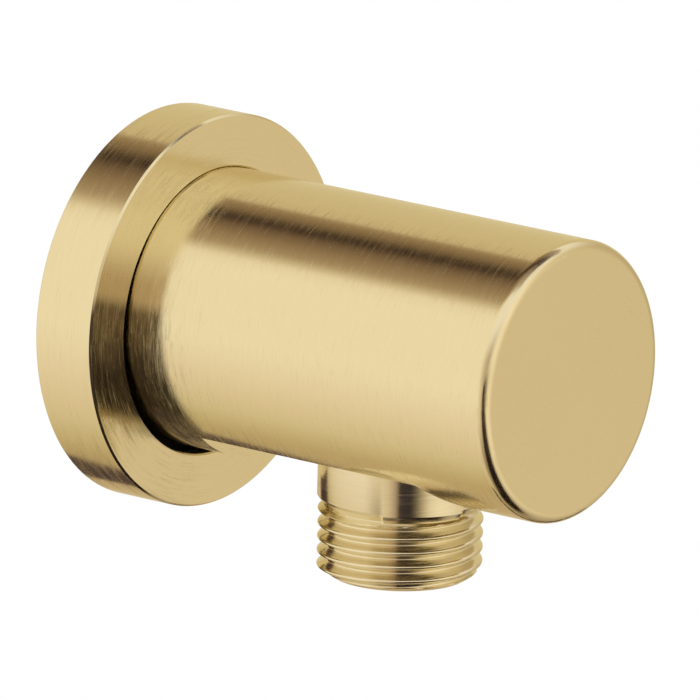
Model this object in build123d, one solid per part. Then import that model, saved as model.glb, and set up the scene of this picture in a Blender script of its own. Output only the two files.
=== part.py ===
from build123d import *
import os
from math import sqrt

# Shower wall outlet elbow. Millimetres, +Z up. The finished wall is the plane Y = 0, the body
# stands out from it along -Y, and the origin is where the body's axis meets the wall.

# Body
BODY_DIAMETER = 36.0
PROJECTION = 65.9            # wall to the flat front of the body
FRONT_EDGE_RADIUS = 1.4
BACK_CHAMFER = 0.5
FRONT_WALL = 14.0            # metal left in front of the waterway
FLAT_DEPTH = 4.2             # milled flat on the underside, below the round
FLAT_START = 4.2             # full round left in front of the escutcheon
FLAT_END_RADIUS = 16.0       # round end of the flat, about the outlet axis

# Escutcheon and its gasket
ESCUTCHEON_FLANGE = 7.3      # how far the plate stands out round the body
ESCUTCHEON_THICKNESS = 9.0
ESCUTCHEON_FACE_WALL = 2.5
ESCUTCHEON_RIM_WALL = 3.0
ESCUTCHEON_BEVEL = 0.25
ESCUTCHEON_PLAY = 0.53       # radial play of its hole on the body
ESCUTCHEON_REST_GAP = 0.03   # it hangs on the top of the body
HOLE_BEVEL = 0.2
GASKET_THICKNESS = 2.0
GASKET_LIP = 1.2             # rim left outside the gasket seat is thinner by this
GASKET_CLEARANCE = 0.05
GASKET_COLLAR_GAP = 0.3      # round the wall nipple's collar

# Wall connection
G_HALF_DIAMETER = 20.955     # major diameter of a G1/2 thread
WALL_THREAD_LENGTH = 10.0
THREAD_CHAMFER = 1.0
COLLAR_DIAMETER = 27.0
COLLAR_THICKNESS = 2.5
SOCKET_WALL = 6.94           # body wall round the spigot's socket
SPIGOT_LENGTH = 25.7         # beyond the collar
SPIGOT_CHAMFER = 0.8
SPIGOT_CLEARANCE = 0.06      # radial, in the body's socket
SOCKET_END_GAP = 0.4
INLET_BORE_DIAMETER = 10.0
HEX_ACROSS_FLATS = 12.0
HEX_DEPTH = 12.0

# Spigot seals
RING_GROOVE_DEPTH = 1.5
RING_GROOVE_WIDTH = 2.1
RING_CLEARANCE = 0.02
RING_END_MARGIN = 1.15       # spigot end to the first groove
RING_SPACING = 3.4

# Grub screw that locks the body on the spigot
GRUB_DIAMETER = 5.0
GRUB_CLEARANCE = 0.05
GRUB_MARGIN = 2.55           # rear seal groove to the screw's axis
GRUB_RECESS = 0.3
GRUB_TIP_DIAMETER = 1.4
GRUB_HEX_ACROSS_FLATS = 2.5
GRUB_HEX_DEPTH = 2.0
LOCK_GROOVE_DEPTH = 1.0
LOCK_GROOVE_FLOOR = 1.6

# Outlet port and nipple
OUTLET_DISTANCE = 39.4       # wall to the outlet axis
SHANK_DIAMETER = 21.2
SHANK_CLEARANCE = 0.05
SHANK_SINK = 1.4             # shank shoulder above the flat
PORT_THREAD_DIAMETER = 19.0
PORT_THREAD_LENGTH = 5.0
PORT_THREAD_CLEARANCE = 0.05
PORT_LEDGE = 0.7             # metal between the waterway and the seal's seat
OUTLET_SEAL_THICKNESS = 1.2
NIPPLE_DROP = 15.65          # flat to the end of the nipple
OUTLET_THREAD_LENGTH = 9.2   # end of the nipple to the thread's run-out
NIPPLE_END_CHAMFER = 1.2
NIPPLE_END_RADIUS = 8.65
RUN_OUT_DEPTH = 0.75         # cone from the shank down to the thread
RUN_OUT_LENGTH = 1.1
VALVE_STOP = 2.0             # ledge over the valve cartridge

# Backflow-preventer cartridge
VALVE_DIAMETER = 15.0
VALVE_CLEARANCE = 0.05
VALVE_LENGTH = 15.0
VALVE_SEAT_DIAMETER = 8.0
VALVE_SEAT_THICKNESS = 2.0
VALVE_CHAMBER_DIAMETER = 10.8
VALVE_RING_GROOVE_DEPTH = 1.2
VALVE_RING_GROOVE_WIDTH = 1.6
VALVE_RING_MARGIN = 1.8      # cartridge top to the groove
GUIDE_SEAT_DEPTH = 3.8       # cartridge end to the guide's step
GUIDE_SEAT_STEP = 0.5
GUIDE_CLEARANCE = 0.03
GUIDE_THICKNESS = 2.0
GUIDE_RIM = 1.1
GUIDE_HUB_DIAMETER = 4.6
GUIDE_ARM_WIDTH = 1.3
GUIDE_ARMS = 3
POPPET_HEAD_DIAMETER = 9.4
POPPET_HEAD_THICKNESS = 1.2
POPPET_NOSE_DIAMETER = 6.2
POPPET_NOSE_RISE = 0.9       # above the seal's top
POPPET_STEM_DIAMETER = 2.2
STEM_CLEARANCE = 0.08
STEM_PROTRUSION = 0.6        # below the guide, with the valve shut
POPPET_SEAL_THICKNESS = 1.0
POPPET_SEAL_DIAMETER = 9.2
SEAL_GAP = 0.02
SPRING_WIRE_DIAMETER = 0.5
SPRING_MEAN_DIAMETER = 3.9
SPRING_TURNS = 5
SPRING_END_GAP = 0.05

# Worked out from the values above
body_r = BODY_DIAMETER / 2
body_back = -COLLAR_THICKNESS
escutcheon_r = body_r + ESCUTCHEON_FLANGE
cavity_r = escutcheon_r - ESCUTCHEON_RIM_WALL
gasket_seat_r = cavity_r + GASKET_LIP
hang = ESCUTCHEON_PLAY - ESCUTCHEON_REST_GAP
flat_z = -(body_r - FLAT_DEPTH)
socket_r = body_r - SOCKET_WALL
spigot_r = socket_r - SPIGOT_CLEARANCE
spigot_end = body_back - SPIGOT_LENGTH
socket_end = spigot_end - SOCKET_END_GAP
groove_front = spigot_end + RING_END_MARGIN + RING_GROOVE_WIDTH / 2
groove_rear = groove_front + RING_SPACING
grub_y = groove_rear + RING_GROOVE_WIDTH / 2 + GRUB_MARGIN
port_seat_z = flat_z + SHANK_SINK
port_ledge_z = port_seat_z + PORT_THREAD_LENGTH
waterway_r = -port_ledge_z - PORT_LEDGE
nipple_top = port_ledge_z - OUTLET_SEAL_THICKNESS
nipple_end = flat_z - NIPPLE_DROP
thread_r = G_HALF_DIAMETER / 2
shank_r = SHANK_DIAMETER / 2
shank_end = nipple_end + OUTLET_THREAD_LENGTH
valve_r = VALVE_DIAMETER / 2
valve_top = nipple_top - VALVE_STOP
valve_end = valve_top - VALVE_LENGTH
seat_face = valve_top - VALVE_SEAT_THICKNESS
guide_top = valve_end + GUIDE_SEAT_DEPTH
guide_end = guide_top - GUIDE_THICKNESS
seal_top = seat_face - SEAL_GAP
head_top = seal_top - POPPET_SEAL_THICKNESS
head_end = head_top - POPPET_HEAD_THICKNESS
stem_end = guide_end - STEM_PROTRUSION
stem_r = POPPET_STEM_DIAMETER / 2


def turned_on_wall_axis(*points):
    """Revolve a closed (radius, y) outline about the body's axis."""
    return revolve(make_face(Polyline(*points, close=True)), Axis.Y)


def turned_on_outlet_axis(*points):
    """Revolve a closed (radius, z) outline about the outlet's axis."""
    outline = Plane.XZ * make_face(Polyline(*points, close=True))
    return Pos(0, -OUTLET_DISTANCE, 0) * revolve(outline, Axis.Z)


def hex_prism(across_flats, length):
    """Hexagonal bar along +Z from the XY plane."""
    return extrude(RegularPolygon(across_flats / sqrt(3), 6), length)


def ring_section(inner_r, outer_r, clearance):
    """Centre radius and section radius of a round ring that fills an annulus."""
    section_r = (outer_r - inner_r) / 2 - clearance
    return (outer_r + inner_r) / 2, section_r


def elbow_body():
    front = -PROJECTION
    body = turned_on_wall_axis((0, body_back), (body_r, body_back), (body_r, front), (0, front))
    rims = body.edges().filter_by(GeomType.CIRCLE).sort_by(Axis.Y)
    body = fillet(rims[0], FRONT_EDGE_RADIUS)
    rims = body.edges().filter_by(GeomType.CIRCLE).sort_by(Axis.Y)
    body = chamfer(rims[-1], BACK_CHAMFER)
    return body - underside_flat() - waterway() - outlet_port() - grub_hole()


def underside_flat():
    start = -(ESCUTCHEON_THICKNESS + FLAT_START)
    run = OUTLET_DISTANCE + start
    strip = Pos(0, start - run / 2) * Rectangle(2 * FLAT_END_RADIUS, run)
    end = Pos(0, -OUTLET_DISTANCE) * Circle(FLAT_END_RADIUS)
    return Pos(0, 0, flat_z) * extrude(strip + end, -2 * FLAT_DEPTH)


def waterway():
    end = FRONT_WALL - PROJECTION
    return turned_on_wall_axis(
        (0, body_back + BACK_CHAMFER), (socket_r, body_back + BACK_CHAMFER), (socket_r, socket_end),
        (waterway_r, socket_end), (waterway_r, end), (0, end - waterway_r / 2))


def outlet_port():
    thread_bore_r = PORT_THREAD_DIAMETER / 2
    counterbore_r = shank_r + SHANK_CLEARANCE
    below = -body_r - FLAT_DEPTH
    return turned_on_outlet_axis(
        (0, 0), (valve_r, 0), (valve_r, port_ledge_z), (thread_bore_r, port_ledge_z),
        (thread_bore_r, port_seat_z), (counterbore_r, port_seat_z), (counterbore_r, below), (0, below))


def grub_hole():
    hole_r = GRUB_DIAMETER / 2 + GRUB_CLEARANCE
    depth = body_r - spigot_r
    return Pos(0, grub_y, -body_r) * extrude(Circle(hole_r), depth + LOCK_GROOVE_DEPTH)


def escutcheon():
    hole_r = body_r + ESCUTCHEON_PLAY
    edge_r = escutcheon_r - ESCUTCHEON_BEVEL
    front = -ESCUTCHEON_THICKNESS
    inside = front + ESCUTCHEON_FACE_WALL
    plate = turned_on_wall_axis(
        (edge_r, 0), (escutcheon_r, -ESCUTCHEON_BEVEL), (escutcheon_r, front + ESCUTCHEON_BEVEL),
        (edge_r, front), (hole_r + HOLE_BEVEL, front), (hole_r, front + HOLE_BEVEL), (hole_r, inside),
        (cavity_r, inside), (cavity_r, -GASKET_THICKNESS), (gasket_seat_r, -GASKET_THICKNESS),
        (gasket_seat_r, 0))
    return hung(plate)


def escutcheon_gasket():
    outer = gasket_seat_r - GASKET_CLEARANCE
    inner = COLLAR_DIAMETER / 2 + hang + GASKET_COLLAR_GAP
    return hung(turned_on_wall_axis(
        (inner, 0), (outer, 0), (outer, -GASKET_THICKNESS), (inner, -GASKET_THICKNESS)))


def hung(plate):
    """Lower a plate until its hole rests on the top of the body."""
    return Pos(0, 0, -hang) * plate


def wall_nipple():
    collar_r = COLLAR_DIAMETER / 2
    bore_r = INLET_BORE_DIAMETER / 2
    lock_r = spigot_r - LOCK_GROOVE_DEPTH
    floor = LOCK_GROOVE_FLOOR / 2
    mouth = floor + LOCK_GROOVE_DEPTH
    nipple = turned_on_wall_axis(
        (bore_r, WALL_THREAD_LENGTH), (thread_r - THREAD_CHAMFER, WALL_THREAD_LENGTH),
        (thread_r, WALL_THREAD_LENGTH - THREAD_CHAMFER), (thread_r, 0), (collar_r, 0), (collar_r, body_back),
        (spigot_r, body_back), (spigot_r, grub_y + mouth), (lock_r, grub_y + floor), (lock_r, grub_y - floor),
        (spigot_r, grub_y - mouth), (spigot_r, spigot_end + SPIGOT_CHAMFER),
        (spigot_r - SPIGOT_CHAMFER, spigot_end), (bore_r, spigot_end))
    for groove_y in (groove_front, groove_rear):
        nipple -= ring_groove(groove_y)
    drive = Pos(0, spigot_end, 0) * Rot(X=-90) * hex_prism(HEX_ACROSS_FLATS, HEX_DEPTH)
    return nipple - drive


def ring_groove(centre_y):
    half = RING_GROOVE_WIDTH / 2
    root_r = spigot_r - RING_GROOVE_DEPTH
    return turned_on_wall_axis(
        (root_r, centre_y - half), (spigot_r + RING_GROOVE_DEPTH, centre_y - half),
        (spigot_r + RING_GROOVE_DEPTH, centre_y + half), (root_r, centre_y + half))


def spigot_o_ring(centre_y):
    centre_r, section_r = ring_section(spigot_r - RING_GROOVE_DEPTH, socket_r, RING_CLEARANCE)
    return revolve(Pos(centre_r, centre_y) * Circle(section_r), Axis.Y)


def grub_screw():
    screw_r = GRUB_DIAMETER / 2
    tip_r = GRUB_TIP_DIAMETER / 2
    head_z = flat_z + GRUB_RECESS
    tip_z = -(spigot_r - LOCK_GROOVE_DEPTH) - GRUB_CLEARANCE
    outline = Plane.XZ * make_face(Polyline(
        (0, head_z), (screw_r, head_z), (screw_r, tip_z - screw_r + tip_r), (tip_r, tip_z), (0, tip_z),
        close=True))
    socket = Pos(0, 0, head_z) * hex_prism(GRUB_HEX_ACROSS_FLATS, GRUB_HEX_DEPTH)
    return Pos(0, grub_y, 0) * (revolve(outline, Axis.Z) - socket)


def outlet_seal():
    outer = PORT_THREAD_DIAMETER / 2 - PORT_THREAD_CLEARANCE
    return turned_on_outlet_axis(
        (valve_r, nipple_top), (outer, nipple_top), (outer, port_ledge_z), (valve_r, port_ledge_z))


def outlet_nipple():
    bore_r = valve_r + VALVE_CLEARANCE
    stop_r = VALVE_CHAMBER_DIAMETER / 2
    port_r = PORT_THREAD_DIAMETER / 2 - PORT_THREAD_CLEARANCE
    run_out_r = shank_r - RUN_OUT_DEPTH
    return turned_on_outlet_axis(
        (stop_r, nipple_top), (port_r, nipple_top), (port_r, port_seat_z), (shank_r, port_seat_z),
        (shank_r, shank_end + RUN_OUT_LENGTH), (run_out_r, shank_end), (thread_r, shank_end),
        (thread_r, nipple_end + NIPPLE_END_CHAMFER), (NIPPLE_END_RADIUS, nipple_end), (bore_r, nipple_end),
        (bore_r, valve_top), (stop_r, valve_top))


def valve_housing():
    seat_r = VALVE_SEAT_DIAMETER / 2
    chamber_r = VALVE_CHAMBER_DIAMETER / 2
    guide_r = chamber_r + GUIDE_SEAT_STEP
    root_r = valve_r - VALVE_RING_GROOVE_DEPTH
    groove_top = valve_top - VALVE_RING_MARGIN
    groove_end = groove_top - VALVE_RING_GROOVE_WIDTH
    return turned_on_outlet_axis(
        (seat_r, valve_top), (valve_r, valve_top), (valve_r, groove_top), (root_r, groove_top),
        (root_r, groove_end), (valve_r, groove_end), (valve_r, valve_end), (guide_r, valve_end),
        (guide_r, guide_top), (chamber_r, guide_top), (chamber_r, seat_face), (seat_r, seat_face))


def valve_o_ring():
    centre_r, section_r = ring_section(
        valve_r - VALVE_RING_GROOVE_DEPTH, valve_r + VALVE_CLEARANCE, RING_CLEARANCE)
    centre_z = valve_top - VALVE_RING_MARGIN - VALVE_RING_GROOVE_WIDTH / 2
    section = Plane.XZ * (Pos(centre_r, centre_z) * Circle(section_r))
    return Pos(0, -OUTLET_DISTANCE, 0) * revolve(section, Axis.Z)


def valve_guide():
    rim_r = VALVE_CHAMBER_DIAMETER / 2 + GUIDE_SEAT_STEP - GUIDE_CLEARANCE
    rim_inside = rim_r - GUIDE_RIM
    hub_r = GUIDE_HUB_DIAMETER / 2
    hole_r = stem_r + STEM_CLEARANCE
    plan = Circle(rim_r) - Circle(rim_inside) + Circle(hub_r)
    reach = rim_r - GUIDE_RIM / 2
    for arm in range(GUIDE_ARMS):
        plan += Rot(Z=360 / GUIDE_ARMS * arm) * Pos(reach / 2, 0) * Rectangle(reach, GUIDE_ARM_WIDTH)
    return Pos(0, -OUTLET_DISTANCE, guide_end) * extrude(plan - Circle(hole_r), GUIDE_THICKNESS)


def valve_poppet():
    head_r = POPPET_HEAD_DIAMETER / 2
    nose_r = POPPET_NOSE_DIAMETER / 2
    nose_top = seal_top + POPPET_NOSE_RISE
    return turned_on_outlet_axis(
        (0, nose_top), (nose_r - POPPET_NOSE_RISE, nose_top), (nose_r, seal_top), (nose_r, head_top),
        (head_r, head_top), (head_r, head_end), (stem_r, head_end), (stem_r, stem_end), (0, stem_end))


def poppet_seal():
    inner = POPPET_NOSE_DIAMETER / 2
    outer = POPPET_SEAL_DIAMETER / 2
    return turned_on_outlet_axis((inner, head_top), (outer, head_top), (outer, seal_top), (inner, seal_top))


def valve_spring():
    wire_r = SPRING_WIRE_DIAMETER / 2
    coil_r = SPRING_MEAN_DIAMETER / 2
    margin = wire_r + SPRING_END_GAP
    length = head_end - guide_top - 2 * margin
    path = Helix(length / SPRING_TURNS, length, coil_r)
    wire = sweep(Plane(origin=path @ 0, z_dir=path % 0) * Circle(wire_r), path=path)
    return Pos(0, -OUTLET_DISTANCE, guide_top + margin) * wire


os.makedirs("parts", exist_ok=True)
nodes = {
    "elbow_body": elbow_body(),
    "escutcheon": escutcheon(),
    "escutcheon_gasket": escutcheon_gasket(),
    "wall_nipple": wall_nipple(),
    "spigot_o_ring_front": spigot_o_ring(groove_front),
    "spigot_o_ring_rear": spigot_o_ring(groove_rear),
    "grub_screw": grub_screw(),
    "outlet_seal": outlet_seal(),
    "outlet_nipple": outlet_nipple(),
    "valve_housing": valve_housing(),
    "valve_o_ring": valve_o_ring(),
    "valve_guide": valve_guide(),
    "valve_poppet": valve_poppet(),
    "poppet_seal": poppet_seal(),
    "valve_spring": valve_spring(),
}
for name, solid in nodes.items():
    export_step(solid, f"parts/{name}.step")
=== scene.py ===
"""Shower wall outlet elbow in brushed gold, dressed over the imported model."""

import math
from collections import namedtuple

import bmesh
import bpy
from mathutils import Matrix, Vector


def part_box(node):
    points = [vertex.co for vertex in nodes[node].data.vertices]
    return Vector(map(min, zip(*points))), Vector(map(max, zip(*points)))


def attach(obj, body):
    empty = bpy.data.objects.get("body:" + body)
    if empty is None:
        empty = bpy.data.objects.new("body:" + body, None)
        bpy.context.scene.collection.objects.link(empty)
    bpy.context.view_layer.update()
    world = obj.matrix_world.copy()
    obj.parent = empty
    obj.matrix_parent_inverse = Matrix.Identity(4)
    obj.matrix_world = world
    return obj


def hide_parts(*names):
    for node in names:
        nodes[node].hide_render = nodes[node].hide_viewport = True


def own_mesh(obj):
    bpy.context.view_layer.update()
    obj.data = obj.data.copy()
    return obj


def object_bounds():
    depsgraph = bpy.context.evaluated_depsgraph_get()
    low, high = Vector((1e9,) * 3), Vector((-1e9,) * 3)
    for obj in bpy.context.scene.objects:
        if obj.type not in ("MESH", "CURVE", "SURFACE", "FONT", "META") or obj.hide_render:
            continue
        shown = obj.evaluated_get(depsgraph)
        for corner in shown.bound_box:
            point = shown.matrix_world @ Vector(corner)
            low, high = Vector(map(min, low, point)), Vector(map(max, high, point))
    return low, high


MM = 0.001

# Camera, in the object's frame: well away, with a long lens
VIEW_AZIMUTH = math.radians(52.16)
VIEW_ELEVATION = math.radians(14.07)
VIEW_ROLL = math.radians(1.50)
VIEW_CENTRE = Vector((-2.192, -32.347, -1.199)) * MM
VIEW_DISTANCE = 1800.0 * MM
VIEW_END = 100.0
SENSOR = 36.0
LENS = 735.3

# Floor: its shadow shows inside the first radius, and it is plain white from the second on
FLOOR_DROP = 120 * MM
FLOOR_SIZE = 6.0
FLOOR_COLOUR = (0.9, 0.9, 0.9)
SHADOW_RADIUS = 0.25
WHITE_RADIUS = 0.40

# G1/2 thread, in millimetres: rounded form with 55 degree flanks
THREAD_RADIUS = 10.4775
THREAD_PITCH = 1.814
THREAD_DEPTH = 1.162
THREAD_ROUNDING = 0.249
FLANK_SLOPE = 1 / math.tan(math.radians(27.5))
ROWS_PER_PITCH = 24
TURN_SEGMENTS = 240
SHARP_EDGE = math.radians(35)

# Outlet nipple, in millimetres, with heights above its end
SHANK_RADIUS = 10.6
SHOULDER_RADIUS = 9.45
BORE_RADIUS = 7.55
STOP_RADIUS = 5.4
STOP_THICKNESS = 2.0
LIP_RADIUS = 8.65
LIP_CHAMFER = 1.2
THREAD_END = 9.2
CONE_TOP = 10.35
CONE_RADIUS = 9.85
RUN_OUT = 0.6
SHOULDER_HEIGHT = 17.05
FIRST_CREST = 8.45
CREST_ANGLE = math.radians(128.7)
# Spanner land: the cone between the shank and the thread starts lower there
LAND_START = math.radians(204.0)
LAND_END = math.radians(265.0)
LAND_DROP = 0.35

# Wall nipple, in millimetres, with lengths from its end in the wall
WALL_BORE_RADIUS = 5.0
WALL_CHAMFER = 1.0
WALL_THREAD_END = 10.0
WALL_RUN_OUT = 1.3
KEY_APOTHEM = 6.0
KEY_FLOOR = 26.2
SPIGOT_END = 38.2
# Collar, spigot, lock groove, two seal grooves and end chamfer as (radius, length)
SPIGOT_SECTION = (
    (13.5, 10.0), (13.5, 12.5), (11.0, 12.5), (11.0, 27.2), (10.0, 28.2), (10.0, 29.8), (11.0, 30.8),
    (11.0, 31.55), (9.5, 31.55), (9.5, 33.65), (11.0, 33.65),
    (11.0, 34.95), (9.5, 34.95), (9.5, 37.05), (11.0, 37.05), (11.0, 37.4), (10.2, SPIGOT_END),
)

# Step at the back of the flat under the body: in the solid and as shown, and the flat's level
STEP_SOLID = -13.2 * MM
STEP_SHOWN = -16.3 * MM
FLAT_LEVEL = -13.8 * MM
STEP_MARGIN = 0.02 * MM

# Gold, polished and worn
GOLD = ((0.82, 0.73, 0.50), (0.80, 0.71, 0.48))
PALE_GOLD = ((0.83, 0.755, 0.56), (0.80, 0.72, 0.53))
BRASS = ((0.82, 0.71, 0.46), (0.76, 0.65, 0.40))
# Finishes: roughness where polished and where worn, stretch of the highlights, strength of the marks'
# relief, and the marks around per radian and across per millimetre
Finish = namedtuple("Finish", "polished worn stretch relief around across")
BRUSHED = Finish(polished=0.081, worn=0.29, stretch=0.85, relief=0.14, around=6.0, across=11.0)
TURNED = Finish(polished=0.126, worn=0.28, stretch=0.6, relief=0.4, around=1.5, across=5.0)
BARE = Finish(polished=0.18, worn=0.64, stretch=0.4, relief=0.4, around=1.5, across=5.0)
# Marks: fine ones, with broad ones that are longer and wider by these factors
FINE_SHARE = 0.7
BROAD_SHARE = 0.3
BROAD_LONGER = 4
BROAD_WIDER = 6
MARK_DETAIL = 2.0
MARK_DEPTH = 0.02 * MM
# Highlights stretch across the marks, a quarter turn from them
MARK_TURN = 0.25
# Values of the marks over which the colour and the roughness go from polished to worn
COLOUR_WEAR = (0.45, 0.85)
ROUGH_WEAR = (0.47, 0.66)
# Grain of the plain materials: how far their roughness varies, and the strength of its relief
GRAIN_SPREAD = 0.15
GRAIN_RELIEF = 0.15

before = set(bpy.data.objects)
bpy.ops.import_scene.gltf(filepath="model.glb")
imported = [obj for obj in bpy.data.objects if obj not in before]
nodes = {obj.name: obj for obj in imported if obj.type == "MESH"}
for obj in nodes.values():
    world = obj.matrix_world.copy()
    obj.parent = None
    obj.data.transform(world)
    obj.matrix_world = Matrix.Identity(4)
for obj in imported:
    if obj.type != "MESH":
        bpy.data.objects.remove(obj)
cad_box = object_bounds()


class Shader:
    """A node tree with short calls to add and link nodes."""

    def __init__(self, tree):
        self.tree = tree
        tree.nodes.clear()

    def add(self, kind, **settings):
        node = self.tree.nodes.new(kind)
        for name, value in settings.items():
            setattr(node, name, value)
        return node

    def link(self, source, target):
        self.tree.links.new(source, target)

    def put(self, value, socket):
        """Link another node's output, or set a constant. Colours are (red, green, blue)."""
        if isinstance(value, bpy.types.NodeSocket):
            self.link(value, socket)
        elif socket.type == "RGBA":
            socket.default_value = (*value, 1)
        else:
            socket.default_value = value

    def feed(self, node, inputs):
        """Put values on a node's inputs, in their order."""
        for socket, value in zip(node.inputs, inputs):
            self.put(value, socket)
        return node

    def math(self, operation, *inputs):
        return self.feed(self.add("ShaderNodeMath", operation=operation), inputs).outputs[0]

    def vector_math(self, operation, *inputs):
        return self.feed(self.add("ShaderNodeVectorMath", operation=operation), inputs)

    def split(self, vector):
        """The x, y and z of a vector."""
        return self.feed(self.add("ShaderNodeSeparateXYZ"), (vector,)).outputs

    def place(self):
        """The point on the surface, in the object's frame."""
        return self.add("ShaderNodeTexCoord").outputs["Object"]

    def spread(self, value, span, results, kind="LINEAR"):
        """Value carried over from a span to a range of results, and held at their ends."""
        node = self.add("ShaderNodeMapRange", interpolation_type=kind)
        self.link(value, node.inputs["Value"])
        for name, number in zip(("From Min", "From Max", "To Min", "To Max"), (*span, *results)):
            node.inputs[name].default_value = number
        return node.outputs["Result"]

    def fade(self, value, start, end):
        """0 at start, 1 at end, smooth between."""
        return self.spread(value, (start, end), (0.0, 1.0), "SMOOTHSTEP")

    def ramp(self, value, stops):
        """Colour ramp from (position, colour) stops."""
        node = self.add("ShaderNodeValToRGB")
        elements = node.color_ramp.elements
        while len(elements) < len(stops):
            elements.new(1.0)
        for element, (position, colour) in zip(elements, stops):
            element.position = position
            element.color = (*colour, 1)
        self.link(value, node.inputs["Fac"])
        return node.outputs["Color"]

    def blend(self, share, first, second, kind="MIX"):
        """First colour where share is 0, second where it is 1."""
        node = self.add("ShaderNodeMix", data_type="RGBA", blend_type=kind)
        self.link(share, node.inputs["Factor"])
        for name, value in (("A", first), ("B", second)):
            self.put(value, next(s for s in node.inputs if s.name == name and s.type == "RGBA"))
        return next(s for s in node.outputs if s.type == "RGBA")

    def dim(self, share, colour, filter_colour):
        """Colour seen through a filter where share is 1."""
        return self.blend(share, colour, filter_colour, "MULTIPLY")

    def surface(self, source, kind="Material"):
        """Give the tree its output."""
        output = self.add("ShaderNodeOutput" + kind)
        self.link(source, output.inputs["Surface"])


def new_material(name):
    """New material with an empty node tree, and its shader."""
    material = bpy.data.materials.new(name)
    material.use_nodes = True
    return material, Shader(material.node_tree)


def principled(shader, **values):
    """Principled surface with its constant values set on the sockets."""
    surface = shader.add("ShaderNodeBsdfPrincipled")
    for name, value in values.items():
        shader.put(value, surface.inputs[name.replace("_", " ")])
    shader.surface(surface.outputs["BSDF"])
    return surface


def roughen(shader, surface, roughness, height, strength):
    """Give a surface its uneven roughness and its fine relief."""
    shader.link(roughness, surface.inputs["Roughness"])
    relief = shader.add("ShaderNodeBump")
    relief.inputs["Strength"].default_value = strength
    relief.inputs["Distance"].default_value = MARK_DEPTH
    shader.link(height, relief.inputs["Height"])
    shader.link(relief.outputs[0], surface.inputs["Normal"])


def lathe_coordinates(shader, axis, centre):
    """Turning coordinates about an axis: (angle, radius, height) in radians and millimetres."""
    x, y, z = shader.split(shader.vector_math("SUBTRACT", shader.place(), centre).outputs[0])
    side, height = (z, y) if axis == "Y" else (y, z)
    angle = shader.math("ARCTAN2", side, x)
    squares = shader.math("ADD", shader.math("MULTIPLY", x, x), shader.math("MULTIPLY", side, side))
    radius = shader.math("MULTIPLY", shader.math("SQRT", squares), 1 / MM)
    return angle, radius, shader.math("MULTIPLY", height, 1 / MM)


def streaks(shader, coordinates, around, across):
    """Noise drawn out round the axis: around per radian, across per millimetre."""
    vector = shader.add("ShaderNodeCombineXYZ")
    scales = (around, across, across)
    shader.feed(vector, [shader.math("MULTIPLY", *pair) for pair in zip(coordinates, scales)])
    noise = shader.add("ShaderNodeTexNoise")
    noise.inputs["Scale"].default_value = 1.0
    noise.inputs["Detail"].default_value = MARK_DETAIL
    shader.link(vector.outputs[0], noise.inputs["Vector"])
    return noise.outputs[0]


def gold_material(name, colours, finish, axis, centre):
    """Lacquered gold with fine marks that run round the axis."""
    material, shader = new_material(name)
    surface = principled(shader, Metallic=1.0, Anisotropic=finish.stretch, Anisotropic_Rotation=MARK_TURN)
    tangent = shader.add("ShaderNodeTangent", direction_type="RADIAL", axis=axis)
    shader.link(tangent.outputs[0], surface.inputs["Tangent"])
    coordinates = lathe_coordinates(shader, axis, centre)
    fine = streaks(shader, coordinates, finish.around, finish.across)
    broad = streaks(shader, coordinates, finish.around / BROAD_LONGER, finish.across / BROAD_WIDER)
    colour = shader.blend(shader.fade(fine, *COLOUR_WEAR), *colours)
    shader.link(colour, surface.inputs["Base Color"])
    both = shader.math("ADD", shader.math("MULTIPLY", fine, FINE_SHARE),
                       shader.math("MULTIPLY", broad, BROAD_SHARE))
    roughness = shader.spread(both, ROUGH_WEAR, (finish.polished, finish.worn))
    roughen(shader, surface, roughness, fine, finish.relief)
    return material


def plain_material(name, colour, roughness, metallic, grain):
    """Plain stock with a fine grain, per millimetre, in its roughness and surface."""
    material, shader = new_material(name)
    surface = principled(shader, Base_Color=colour, Metallic=metallic)
    noise = shader.add("ShaderNodeTexNoise")
    noise.inputs["Scale"].default_value = grain / MM
    shader.link(shader.place(), noise.inputs["Vector"])
    limits = (roughness * (1 - GRAIN_SPREAD), roughness * (1 + GRAIN_SPREAD))
    uneven = shader.spread(noise.outputs[0], (0.0, 1.0), limits)
    roughen(shader, surface, uneven, noise.outputs[0], GRAIN_RELIEF)
    return material


def dress(material, *names):
    """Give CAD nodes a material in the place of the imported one."""
    for name in names:
        mesh = nodes[name].data
        mesh.materials.clear()
        mesh.materials.append(material)


def add_object(name, data):
    """New object in the scene, at the origin."""
    thing = bpy.data.objects.new(name, data)
    bpy.context.scene.collection.objects.link(thing)
    return thing


def middle(name):
    """Middle of a node's box, which lies on the axis of a round node."""
    low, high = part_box(name)
    return [(a + b) / 2 for a, b in zip(low, high)]


def thread_height(along):
    """Height of the thread above its root at a distance along the axis from a crest."""
    offset = abs(along - THREAD_PITCH * round(along / THREAD_PITCH))
    arc = THREAD_ROUNDING * math.cos(math.atan(1 / FLANK_SLOPE))
    from_root = THREAD_PITCH / 2 - offset
    if offset < arc:
        return THREAD_DEPTH - THREAD_ROUNDING + math.sqrt(THREAD_ROUNDING ** 2 - offset ** 2)
    if from_root < arc:
        return THREAD_ROUNDING - math.sqrt(THREAD_ROUNDING ** 2 - from_root ** 2)
    return THREAD_DEPTH / 2 + FLANK_SLOPE * (THREAD_PITCH / 4 - offset)


def thread_radius(height, angle, crest):
    """Radius of a right-hand thread whose crest passes the given height at angle 0."""
    along = height - crest - THREAD_PITCH * angle / math.tau
    return THREAD_RADIUS - THREAD_DEPTH + thread_height(along)


def plain(radius, height):
    """Ring of a section that is the same all round."""
    return lambda angle: (radius, height)


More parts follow.
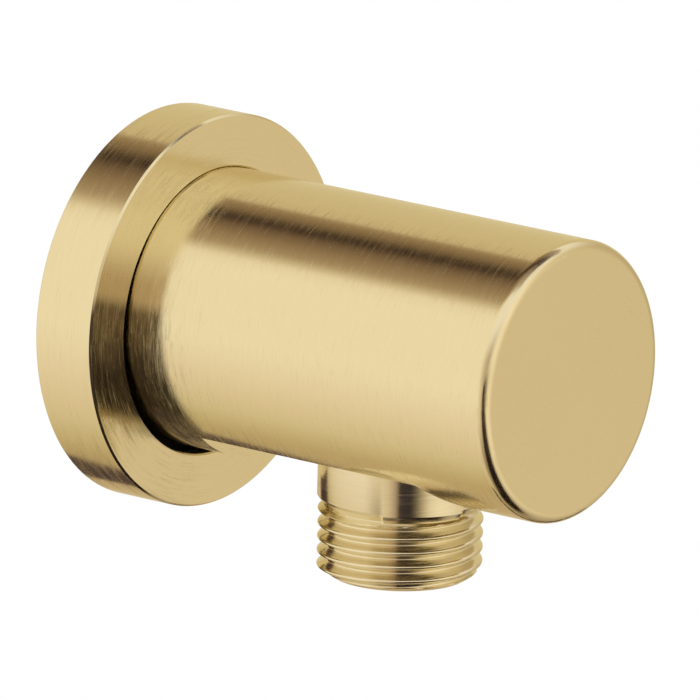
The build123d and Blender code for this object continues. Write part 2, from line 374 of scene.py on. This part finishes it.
def nipple_rings(top):
    """Closed section of the outlet nipple: functions that give (radius, height) for an angle."""
    crest = FIRST_CREST - THREAD_PITCH * CREST_ANGLE / math.tau

    def row(height):
        def place(angle):
            run_out = CONE_RADIUS + (THREAD_RADIUS - CONE_RADIUS) * (THREAD_END - height) / RUN_OUT
            chamfer = LIP_RADIUS + (THREAD_RADIUS - LIP_RADIUS) * height / LIP_CHAMFER
            thread = min(thread_radius(height, angle, crest), run_out, chamfer)
            if height <= THREAD_END - RUN_OUT:
                return thread, height
            on_land = LAND_START < angle % math.tau < LAND_END
            top_of_cone = CONE_TOP - (LAND_DROP if on_land else 0.0)
            fall = (SHANK_RADIUS - CONE_RADIUS) * (top_of_cone - height) / (CONE_TOP - THREAD_END)
            return max(thread, min(SHANK_RADIUS - fall, SHANK_RADIUS)), height
        return place

    rows = round(CONE_TOP / THREAD_PITCH * ROWS_PER_PITCH)
    rings = [plain(STOP_RADIUS, top), plain(SHOULDER_RADIUS, top), plain(SHOULDER_RADIUS, SHOULDER_HEIGHT),
             plain(SHANK_RADIUS, SHOULDER_HEIGHT)]
    rings += [row(CONE_TOP * (1 - step / rows)) for step in range(rows + 1)]
    rings += [plain(BORE_RADIUS, 0), plain(BORE_RADIUS, top - STOP_THICKNESS),
              plain(STOP_RADIUS, top - STOP_THICKNESS)]
    return rings


def wall_nipple_rings():
    """Closed section of the wall nipple, from the bore's end in the wall round the outside and back."""
    def row(length):
        def place(angle):
            cut = THREAD_RADIUS - thread_radius(length, angle, 0.0)
            kept = min(1.0, (WALL_THREAD_END - length) / WALL_RUN_OUT)
            return min(THREAD_RADIUS - cut * kept, THREAD_RADIUS - WALL_CHAMFER + length), length
        return place

    def key_socket(length):
        return lambda angle: (KEY_APOTHEM / math.cos(angle % (math.tau / 6) - math.tau / 12), length)

    rows = round(WALL_THREAD_END / THREAD_PITCH * ROWS_PER_PITCH)
    rings = [plain(WALL_BORE_RADIUS, 0.0)]
    rings += [row(WALL_THREAD_END * step / rows) for step in range(rows + 1)]
    rings += [plain(*spot) for spot in SPIGOT_SECTION]
    rings += [key_socket(SPIGOT_END), key_socket(KEY_FLOOR), plain(WALL_BORE_RADIUS, KEY_FLOOR)]
    return rings


def turned_piece(name, rings, place, material):
    """Piece with a closed section carried round its axis. place puts (x, y, height) in the frame."""
    turns = [math.tau * step / TURN_SEGMENTS for step in range(TURN_SEGMENTS)]
    shape = bmesh.new()
    grid = []
    for ring in rings:
        spots = [ring(turn) for turn in turns]
        grid.append([shape.verts.new(place(r * math.cos(turn), r * math.sin(turn), h))
                     for (r, h), turn in zip(spots, turns)])
    for upper, lower in zip(grid, grid[1:] + grid[:1]):
        for step in range(TURN_SEGMENTS):
            after = (step + 1) % TURN_SEGMENTS
            shape.faces.new((upper[step], lower[step], lower[after], upper[after]))
    bmesh.ops.recalc_face_normals(shape, faces=shape.faces)
    mesh = bpy.data.meshes.new(name)
    shape.to_mesh(mesh)
    shape.free()
    mesh.shade_smooth()
    mesh.set_sharp_from_angle(angle=SHARP_EDGE)
    mesh.materials.append(material)
    return add_object(name, mesh)


def threaded_nipple(material):
    """Outlet nipple with its hose thread, in the place of the plain one."""
    low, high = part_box("outlet_nipple")
    axis = middle("outlet_nipple")

    def place(x, y, height):
        return axis[0] + x * MM, axis[1] + y * MM, low[2] + height * MM

    piece = turned_piece("outlet_thread", nipple_rings((high[2] - low[2]) / MM), place, material)
    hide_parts("outlet_nipple")
    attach(piece, "elbow")


def threaded_wall_nipple(material):
    """Wall nipple with its pipe thread, in the place of the plain one."""
    _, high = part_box("wall_nipple")
    axis = middle("wall_nipple")

    def place(x, y, length):
        return axis[0] + x * MM, high[1] - length * MM, axis[2] + y * MM

    piece = turned_piece("wall_thread", wall_nipple_rings(), place, material)
    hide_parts("wall_nipple")
    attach(piece, "elbow")


def longer_round():
    """Elbow body whose full round runs on from the plate to just short of the grub screw."""
    mesh = nodes["elbow_body"].data.copy()
    normals = [tuple(corner.vector) for corner in mesh.corner_normals]
    for vertex in mesh.vertices:
        below_flat = vertex.co.z < FLAT_LEVEL + STEP_MARGIN
        if below_flat and abs(vertex.co.y - STEP_SOLID) < STEP_MARGIN:
            vertex.co.y = STEP_SHOWN
    mesh.normals_split_custom_set(normals)
    piece = add_object("elbow_shell", mesh)
    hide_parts("elbow_body")
    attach(piece, "elbow")


def spring_gives():
    """The spring gets a mesh of its own."""
    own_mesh(nodes["valve_spring"])


def camera():
    """Camera at the photograph's angle, which leans a little."""
    back = Vector((-math.sin(VIEW_AZIMUTH) * math.cos(VIEW_ELEVATION),
                   -math.cos(VIEW_AZIMUTH) * math.cos(VIEW_ELEVATION), math.sin(VIEW_ELEVATION)))
    level = Vector((math.cos(VIEW_AZIMUTH), -math.sin(VIEW_AZIMUTH), 0))
    upright = back.cross(level)
    right = level * math.cos(VIEW_ROLL) + upright * math.sin(VIEW_ROLL)
    up = upright * math.cos(VIEW_ROLL) - level * math.sin(VIEW_ROLL)
    data = bpy.data.cameras.new("camera")
    data.sensor_width = SENSOR
    data.lens = LENS
    data.clip_end = VIEW_END
    eye = add_object("camera", data)
    turn = Matrix((right, up, back)).transposed().to_4x4()
    eye.matrix_world = Matrix.Translation(VIEW_CENTRE + back * VIEW_DISTANCE) @ turn
    bpy.context.scene.camera = eye


# Dome that the metal reflects. Its directions have y towards the wall and z up.
DOME_RADIUS = 4.0
DOME_SEGMENTS = 64
DOME_RINGS = 32
# Light on the wall's side, by angle round the body's axis in degrees: 0 right, 90 up
SIDE_LIGHT = (
    (0, (0.76, 0.65, 0.39)), (5, (0.73, 0.62, 0.36)), (46, (0.71, 0.60, 0.36)),
    (57, (0.69, 0.57, 0.35)), (100, (0.83, 0.71, 0.49)), (129, (1.01, 0.93, 0.76)),
    (189, (1.01, 0.93, 0.76)), (214, (0.93, 0.82, 0.64)), (238, (0.83, 0.71, 0.51)),
    (250, (0.76, 0.66, 0.43)), (262, (0.67, 0.56, 0.33)), (275, (0.59, 0.46, 0.25)),
    (310, (0.57, 0.43, 0.24)), (322, (0.64, 0.49, 0.28)), (345, (0.73, 0.63, 0.39)),
    (360, (0.76, 0.65, 0.39)),
)
# Light from the room, by compass angle in degrees: 180 to the left, 270 straight out from the wall
FRONT_LIGHT = (
    (0, (0.56, 0.46, 0.28)), (150, (0.95, 0.86, 0.68)), (165, (0.92, 0.81, 0.62)),
    (180, (0.88, 0.76, 0.56)), (193, (0.82, 0.70, 0.50)), (201, (0.75, 0.62, 0.43)),
    (206, (0.62, 0.49, 0.34)), (210.5, (0.48, 0.36, 0.25)), (213, (0.34, 0.25, 0.17)),
    (215, (0.15, 0.11, 0.08)), (216.5, (0.05, 0.04, 0.04)), (231, (0.04, 0.03, 0.03)),
    (238, (0.20, 0.16, 0.10)), (247, (0.57, 0.47, 0.31)), (256, (0.89, 0.78, 0.58)),
    (270, (1.01, 0.90, 0.69)), (288, (0.97, 0.86, 0.66)), (300, (0.87, 0.76, 0.54)),
    (310, (0.82, 0.71, 0.49)), (322, (0.76, 0.65, 0.45)), (340, (0.62, 0.52, 0.34)),
    (360, (0.56, 0.46, 0.28)),
)
# The same above the object's level, and the ceiling
HIGH_LIGHT = (
    (0, (0.60, 0.49, 0.31)), (150, (0.95, 0.86, 0.68)), (180, (0.80, 0.69, 0.49)),
    (200, (0.66, 0.55, 0.41)), (215, (0.57, 0.46, 0.36)), (226, (0.58, 0.47, 0.37)),
    (243, (0.83, 0.74, 0.56)), (256, (0.99, 0.89, 0.71)), (270, (1.09, 0.98, 0.77)),
    (288, (1.04, 0.93, 0.72)), (300, (0.91, 0.79, 0.57)), (315, (0.78, 0.67, 0.45)),
    (340, (0.64, 0.53, 0.34)), (360, (0.60, 0.49, 0.31)),
)
CEILING = (1.00, 0.95, 0.86)
# Filter on the room's light from below
GROUND = (0.40, 0.36, 0.32)
# Where the dark gap in front starts to widen, as a share of the compass, and how far it does further
# down, as (height, further degrees for each unit below it)
GAP_EDGE = 226 / 360
GAP_WIDENING = ((-0.24, 66), (-0.65, 170))
# Dark gap overhead, along the wall's direction, by the same angle as the side light. It swings by the
# slant, in turns, for each unit that y is short of the reach.
OVERHEAD_GAP = (
    (0, (1.00, 1.00, 1.00)), (62, (1.00, 1.00, 1.00)), (64.5, (0.50, 0.42, 0.36)),
    (73, (0.34, 0.27, 0.23)), (80, (0.09, 0.07, 0.07)), (84, (0.07, 0.05, 0.06)),
    (91, (0.25, 0.19, 0.17)), (101, (0.40, 0.33, 0.28)), (110, (0.50, 0.43, 0.36)),
    (116, (0.80, 0.76, 0.70)), (120, (1.00, 1.00, 1.00)), (360, (1.00, 1.00, 1.00)),
)
OVERHEAD_SLANT = 16 / 360
OVERHEAD_REACH = 0.6
# Dark gap below, from under the object to the wall, by the sine of the angle off its middle plane
LOW_GAP_PLANE = Vector((0.89, -0.195, 0.413))
LOW_GAP = (
    (-1, (1, 1, 1)), (-0.36, (1, 1, 1)), (-0.29, (0.22, 0.18, 0.24)),
    (-0.22, (0.13, 0.10, 0.15)), (-0.01, (0.11, 0.08, 0.13)), (0.03, (0.26, 0.22, 0.26)),
    (0.09, (0.92, 0.90, 0.88)), (0.12, (1, 1, 1)), (1, (1, 1, 1)),
)
# Where each light or gap sets in and where it is full, along y
FRONT_FROM = (0.30, 0.0)
OVERHEAD_FROM = (-0.56, -0.44)
LOW_GAP_FROM = (0.68, 0.78)
# And along z
LOW_GAP_UNDER = (0.08, 0.0)
HIGH_FROM = (-0.05, 0.15)
CEILING_FROM = (0.25, 0.75)
GROUND_FROM = (-0.35, -0.95)
# Dark sheets under the object that only reflections show, for painted shade on the body's underside and
# neck: (drop, corners, colour), in millimetres
PAINTED_SHADE_SHEETS = (
    (113, ((52, 25), (52, 120), (-10, 120), (-10, 85.6)), (0.085, 0.055, 0.052)),
    (60, ((-18, -37), (13, -38), (40, -47), (70, -62), (70, -78), (40, -62), (13, -49), (-18, -46)),
     (0.05, 0.04, 0.055)),
)


def studio():
    """Plain white light all round, and a far dome and dark sheets of painted shade that only reflections
    show.
    """
    world = bpy.data.worlds.new("studio")
    world.use_nodes = True
    sky = Shader(world.node_tree)
    background = sky.add("ShaderNodeBackground")
    sky.put((1, 1, 1), background.inputs["Color"])
    sky.surface(background.outputs[0], "World")
    bpy.context.scene.world = world
    dome = bpy.data.meshes.new("dome")
    shape = bmesh.new()
    bmesh.ops.create_uvsphere(shape, u_segments=DOME_SEGMENTS, v_segments=DOME_RINGS, radius=DOME_RADIUS)
    shape.to_mesh(dome)
    shape.free()
    shader, glow = reflected("dome", dome)
    shader.link(dome_light(shader), glow)
    # Dark sheets that paint shade into the metal's reflections under the object
    for drop, corners, colour in PAINTED_SHADE_SHEETS:
        painted_shade_sheet = bpy.data.meshes.new("painted_shade_sheet")
        painted_shade_sheet.from_pydata([(x * MM, y * MM, -drop * MM) for x, y in corners], [], [range(len(corners))])
        shader, glow = reflected("painted_shade_sheet", painted_shade_sheet)
        shader.put(colour, glow)


def reflected(name, mesh):
    """Stage piece that only reflections show: gives its shader and the socket for its light."""
    material, shader = new_material(name)
    emission = shader.add("ShaderNodeEmission")
    shader.surface(emission.outputs[0])
    material.cycles.emission_sampling = "NONE"
    mesh.materials.append(material)
    thing = add_object(name, mesh)
    thing.visible_camera = False
    thing.visible_diffuse = False
    thing.visible_transmission = False
    thing.visible_shadow = False
    return shader, emission.inputs["Color"]


def dome_light(shader):
    """Light of the dome by direction: the side and front lights, dimmed in the dark gaps."""
    direction = shader.vector_math("NORMALIZE", shader.place()).outputs[0]
    x, y, z = shader.split(direction)
    round_axis = full_turn(shader, z, x)
    side = shader.ramp(round_axis, turn_stops(SIDE_LIGHT))
    light = shader.blend(shader.fade(y, *FRONT_FROM), side, front_light(shader, x, y, z))
    swing = shader.math("MULTIPLY", shader.math("SUBTRACT", OVERHEAD_REACH, y), OVERHEAD_SLANT)
    overhead = shader.ramp(shader.math("ADD", round_axis, swing), turn_stops(OVERHEAD_GAP))
    light = shader.dim(shader.fade(y, *OVERHEAD_FROM), light, overhead)
    sine = shader.vector_math("DOT_PRODUCT", direction, LOW_GAP_PLANE).outputs["Value"]
    low = shader.ramp(shader.math("MULTIPLY_ADD", sine, 0.5, 0.5),
                      [((stop + 1) / 2, colour) for stop, colour in LOW_GAP])
    reach = shader.math("MULTIPLY", shader.fade(y, *LOW_GAP_FROM), shader.fade(z, *LOW_GAP_UNDER))
    return shader.dim(reach, light, low)


def front_light(shader, x, y, z):
    """Light from the room: bright panels either side of a dark gap that widens downwards."""
    compass = full_turn(shader, y, x)
    narrowed = compass
    for level, widening in GAP_WIDENING:
        drop = shader.math("MAXIMUM", shader.math("SUBTRACT", level, z), 0.0)
        narrowed = shader.math("MULTIPLY_ADD", drop, -widening / 360, narrowed)
    place = shader.math("MINIMUM", compass, shader.math("MAXIMUM", narrowed, GAP_EDGE))
    front = shader.blend(shader.fade(z, *HIGH_FROM), shader.ramp(place, turn_stops(FRONT_LIGHT)),
                         shader.ramp(compass, turn_stops(HIGH_LIGHT)))
    front = shader.blend(shader.fade(z, *CEILING_FROM), front, CEILING)
    return shader.dim(shader.fade(z, *GROUND_FROM), front, GROUND)


def full_turn(shader, opposite, adjacent):
    """Angle as a share of a full turn, 0 to 1."""
    turns = shader.math("MULTIPLY", shader.math("ARCTAN2", opposite, adjacent), 1 / math.tau)
    return shader.math("FRACT", turns)


def turn_stops(stops):
    """Stops by share of a full turn."""
    return [(degrees / 360, colour) for degrees, colour in stops]


def floor():
    """Wide floor well under the object, which reflections don't show."""
    low, _ = cad_box
    height = low[2] - FLOOR_DROP
    half = FLOOR_SIZE / 2
    corners = [(-half, -half, height), (half, -half, height), (half, half, height), (-half, half, height)]
    mesh = bpy.data.meshes.new("floor")
    mesh.from_pydata(corners, [], [(0, 1, 2, 3)])
    mesh.materials.append(floor_material())
    plane = add_object("floor", mesh)
    plane.visible_glossy = False


def floor_material():
    """Pale matt floor that runs out to white away from the object's shadow."""
    material, shader = new_material("floor")
    distance = shader.vector_math("LENGTH", shader.place()).outputs["Value"]
    away = shader.fade(distance, SHADOW_RADIUS, WHITE_RADIUS)
    rays = shader.add("ShaderNodeLightPath")
    matt = shader.add("ShaderNodeBsdfDiffuse")
    shader.put(FLOOR_COLOUR, matt.inputs["Color"])
    white = shader.add("ShaderNodeEmission")
    mix = shader.add("ShaderNodeMixShader")
    seen = shader.math("MULTIPLY", away, rays.outputs["Is Camera Ray"])
    shader.feed(mix, (seen, matt.outputs[0], white.outputs[0]))
    shader.surface(mix.outputs[0])
    return material


body_gold = gold_material("brushed_gold", GOLD, BRUSHED, "Y", (0, 0, 0))
plate_gold = gold_material("brushed_gold_plate", GOLD, BRUSHED, "Y", middle("escutcheon"))
turned_gold = gold_material("turned_gold", PALE_GOLD, TURNED, "Z", middle("outlet_nipple"))
brass = gold_material("plain_brass", BRASS, BARE, "Y", (0, 0, 0))
rubber = plain_material("black_rubber", (0.025, 0.025, 0.026), roughness=0.6, metallic=0.0, grain=2.0)
plastic = plain_material("valve_plastic", (0.80, 0.80, 0.77), roughness=0.4, metallic=0.0, grain=1.0)
steel = plain_material("stainless", (0.60, 0.59, 0.57), roughness=0.25, metallic=1.0, grain=3.0)

dress(body_gold, "elbow_body")
longer_round()
dress(plate_gold, "escutcheon")
threaded_nipple(turned_gold)
threaded_wall_nipple(brass)
dress(rubber, "escutcheon_gasket", "spigot_o_ring_front", "spigot_o_ring_rear", "outlet_seal",
      "valve_o_ring", "poppet_seal")
dress(plastic, "valve_housing", "valve_guide", "valve_poppet")
dress(steel, "grub_screw", "valve_spring")
spring_gives()

camera()
studio()
floor()
bpy.context.scene.view_settings.view_transform = "Standard"
